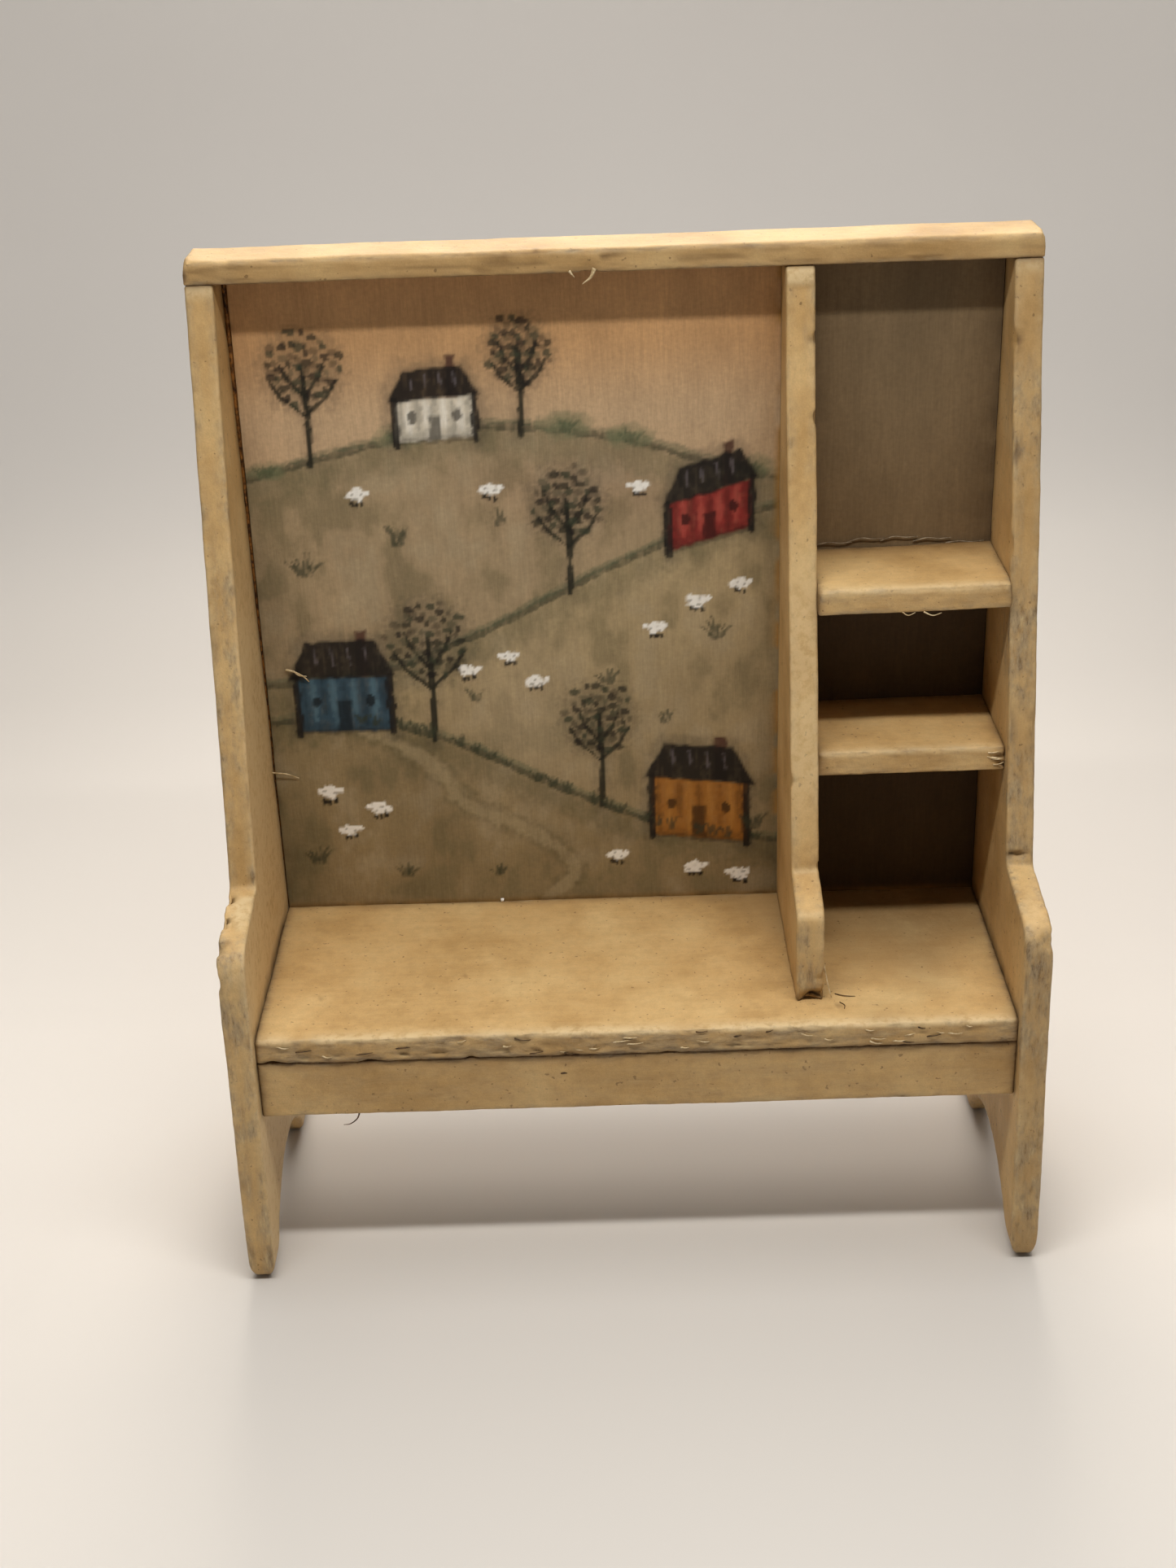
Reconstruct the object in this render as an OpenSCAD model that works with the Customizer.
// Dollhouse-scale high-back settle bench with a bay of two shelves on the right.
// Nine glued boards. Millimetres, +Z up, front faces -Y.
// Origin: centre of the footprint, at floor level.

/* [Overall] */
// overall width, over both sides
body_w = 101.6; // [80:0.1:150]
// depth at the feet, from the rear faces to the front of the front feet
body_d = 40.8; // [34:0.1:60]
// height of the two sides, floor to the underside of the top board
side_h = 121.2; // [95:0.1:180]

/* [Board thicknesses] */
// thickness of the two side boards
side_t = 3.4; // [2:0.1:5]
// thickness of the top board
top_t = 2.8; // [1.8:0.1:5]
// thickness of the back panel
back_t = 2.4; // [1:0.1:4]
// thickness of the seat board
seat_t = 3.4; // [2:0.1:5]
// thickness of the apron under the seat
apron_t = 3.2; // [2:0.1:5]
// thickness of the divider
divider_t = 3.5; // [2:0.1:5]
// thickness of both shelves
shelf_t = 3.2; // [2:0.1:5]

/* [Side outline] */
// depth of a side at its top end
side_top_d = 8; // [6:0.1:12]
// depth of a side where the slanted edge meets the arm
shoulder_d = 23.8; // [18:0.1:30]
// height of the arm at its rear end
shoulder_z = 48.6; // [42:0.1:60]
// depth of a side at the front of the arm
arm_d = 37.6; // [32:0.1:45]
// drop of the arm from its rear end to its front corner
arm_drop = 2; // [0:0.1:4]
// radius of the arm's front corner
arm_r = 3.4; // [1:0.1:5]
// radius on the front corner of each front foot
foot_r = 1; // [0.3:0.1:2]

/* [Foot arch] */
// width of the arch between front and rear foot, at the floor
arch_w = 29.5; // [20:0.1:31]
// height of the arch
arch_h = 9; // [5:0.1:14]
// distance from the rear faces to the middle of the arch
arch_mid_d = 22.3; // [19:0.1:24]

/* [Top board and back panel] */
// distance the top board's front edge stands forward of the sides
top_lip = 0.1; // [0:0.1:3]
// radius along the top board's front top edge
top_r = 0.8; // [0.3:0.1:1.5]
// open gap left of the back panel at its top corner, closing towards its foot
panel_gap = 0.6; // [0.1:0.1:1.5]
// height of the back panel's lower edge above the floor
panel_z = 22.7; // [15:0.1:30]

/* [Seat and apron] */
// height of the seat's top face above the floor
seat_z = 34; // [28:0.1:38]
// depth of the seat, forward of the back panel
seat_d = 34.5; // [28:0.1:36]
// radius along the seat's front top edge
seat_r = 0.5; // [0.2:0.1:1]
// height of the apron
apron_h = 7.9; // [4:0.1:14]
// distance from the seat's front edge back to the apron's face
apron_inset = 0.3; // [0:0.1:3]

/* [Divider] */
// clear width of the shelf bay, divider to right side
bay_w = 23.6; // [15:0.1:35]
// depth of the divider at its foot, forward of the back panel
divider_d = 28.8; // [25:0.1:32]
// drop of the divider's short arm from its rear end to its front corner
divider_drop = 2.4; // [0:0.1:5]
// radius of the divider's front corner
divider_r = 1.6; // [0.5:0.1:2.5]

/* [Shelves] */
// height of the upper shelf's top face above the floor
upper_z = 83.9; // [74:0.1:100]
// depth of the upper shelf, forward of the back panel
upper_d = 15.6; // [8:0.1:20]
// height of the lower shelf's top face above the floor
lower_z = 62.8; // [52:0.1:70]
// depth of the lower shelf, forward of the back panel
lower_d = 16.7; // [8:0.1:22]
// radius along each shelf's front top edge
shelf_r = 0.7; // [0.2:0.1:1.2]

/* [Hidden] */
$fn = 64;

// inner faces of the sides
inner_l = -body_w / 2 + side_t;
inner_r = body_w / 2 - side_t;
// faces of the divider
div_r = inner_r - bay_w;
div_l = div_r - divider_t;
// corners of the side's outline in front: arm and foot
arm_p = [arm_d, shoulder_z - arm_drop];
foot_p = [body_d, 0];
// foremost depth of the rounded foot, and the rear face of everything as a Y position
foot_c = round_centre(arm_p, foot_p, [0, 0], foot_r);
rear_y = (foot_c[0] + foot_r) / 2;
// circle of the foot arch
arch_rad = (arch_w * arch_w / 4 + arch_h * arch_h) / (2 * arch_h);
// depth of the seat's front edge from the rear faces
seat_front = back_t + seat_d;
// depth of the divider's front edge from the rear faces
div_front = back_t + divider_d;
eps = 1;

paint = [0.70, 0.55, 0.32];
panel_paint = [0.42, 0.36, 0.26];

function unit(v) = v / norm(v);

// half the angle at corner b between the directions to a and c
function half_angle(a, b, c) = acos(unit(a - b) * unit(c - b)) / 2;

// centre of a round of radius r in the corner b of an outline
function round_centre(a, b, c, r) =
    b + unit(unit(a - b) + unit(c - b)) * (r / sin(half_angle(a, b, c)));

// Outline profiles are drawn as [depth from the rear, height].
// along_x() runs such a profile from x0 to x1.
module along_x(x0, x1) {
    translate([x1, rear_y, 0])
        rotate([0, 0, -90])
            rotate([90, 0, 0])
                linear_extrude(height = x1 - x0)
                    children();
}

// Rounds the convex corner b of the outline below it. a and c are the points before and after b.
module rounded(a, b, c, r) {
    u = unit(a - b);
    v = unit(c - b);
    t = r / tan(half_angle(a, b, c));
    difference() {
        children();
        polygon([b + u * t, b - unit(u + v) * eps, b + v * t]);
    }
    translate(round_centre(a, b, c, r))
        circle(r = r);
}

module side_outline() {
    difference() {
        rounded(arm_p, foot_p, [0, 0], foot_r)
            rounded([shoulder_d, shoulder_z], arm_p, foot_p, arm_r)
                polygon([
                    [0, 0],
                    foot_p,
                    arm_p,
                    [shoulder_d, shoulder_z],
                    [side_top_d, side_h],
                    [0, side_h]
                ]);
        translate([arch_mid_d, arch_h - arch_rad])
            circle(r = arch_rad);
    }
}

module left_side() {
    color(paint)
        along_x(-body_w / 2, inner_l)
            side_outline();
}

module right_side() {
    color(paint)
        along_x(inner_r, body_w / 2)
            side_outline();
}

module top_board() {
    front = side_top_d + top_lip;
    top = side_h + top_t;
    color(paint)
        along_x(-body_w / 2, body_w / 2)
            rounded([front, side_h], [front, top], [0, top], top_r)
                translate([0, side_h])
                    square([front, top_t]);
}

module back_panel() {
    color(panel_paint)
        translate([0, rear_y, 0])
            rotate([90, 0, 0])
                linear_extrude(height = back_t)
                    polygon([
                        [inner_l, panel_z],
                        [inner_r, panel_z],
                        [inner_r, side_h],
                        [inner_l + panel_gap, side_h]
                    ]);
}

module divider() {
    corner = [div_front, shoulder_z - divider_drop];
    color(paint)
        along_x(div_l, div_r)
            rounded([shoulder_d, shoulder_z], corner, [div_front, seat_z], divider_r)
                polygon([
                    [back_t, seat_z],
                    [div_front, seat_z],
                    corner,
                    [shoulder_d, shoulder_z],
                    [side_top_d, side_h],
                    [back_t, side_h]
                ]);
}

// A board lying between x0 and x1, its top face at z and its front edge d forward of the panel.
module level_board(x0, x1, z, d, t, r) {
    front = back_t + d;
    along_x(x0, x1)
        rounded([front, z - t], [front, z], [back_t, z], r)
            translate([back_t, z - t])
                square([d, t]);
}

module upper_shelf() {
    color(paint)
        level_board(div_r, inner_r, upper_z, upper_d, shelf_t, shelf_r);
}

module lower_shelf() {
    color(paint)
        level_board(div_r, inner_r, lower_z, lower_d, shelf_t, shelf_r);
}

module seat_board() {
    color(paint)
        level_board(inner_l, inner_r, seat_z, seat_d, seat_t, seat_r);
}

module front_apron() {
    front = seat_front - apron_inset;
    color(paint)
        along_x(inner_l, inner_r)
            translate([front - apron_t, seat_z - seat_t - apron_h])
                square([apron_t, apron_h]);
}

left_side();
right_side();
top_board();
back_panel();
divider();
upper_shelf();
lower_shelf();
seat_board();
front_apron();
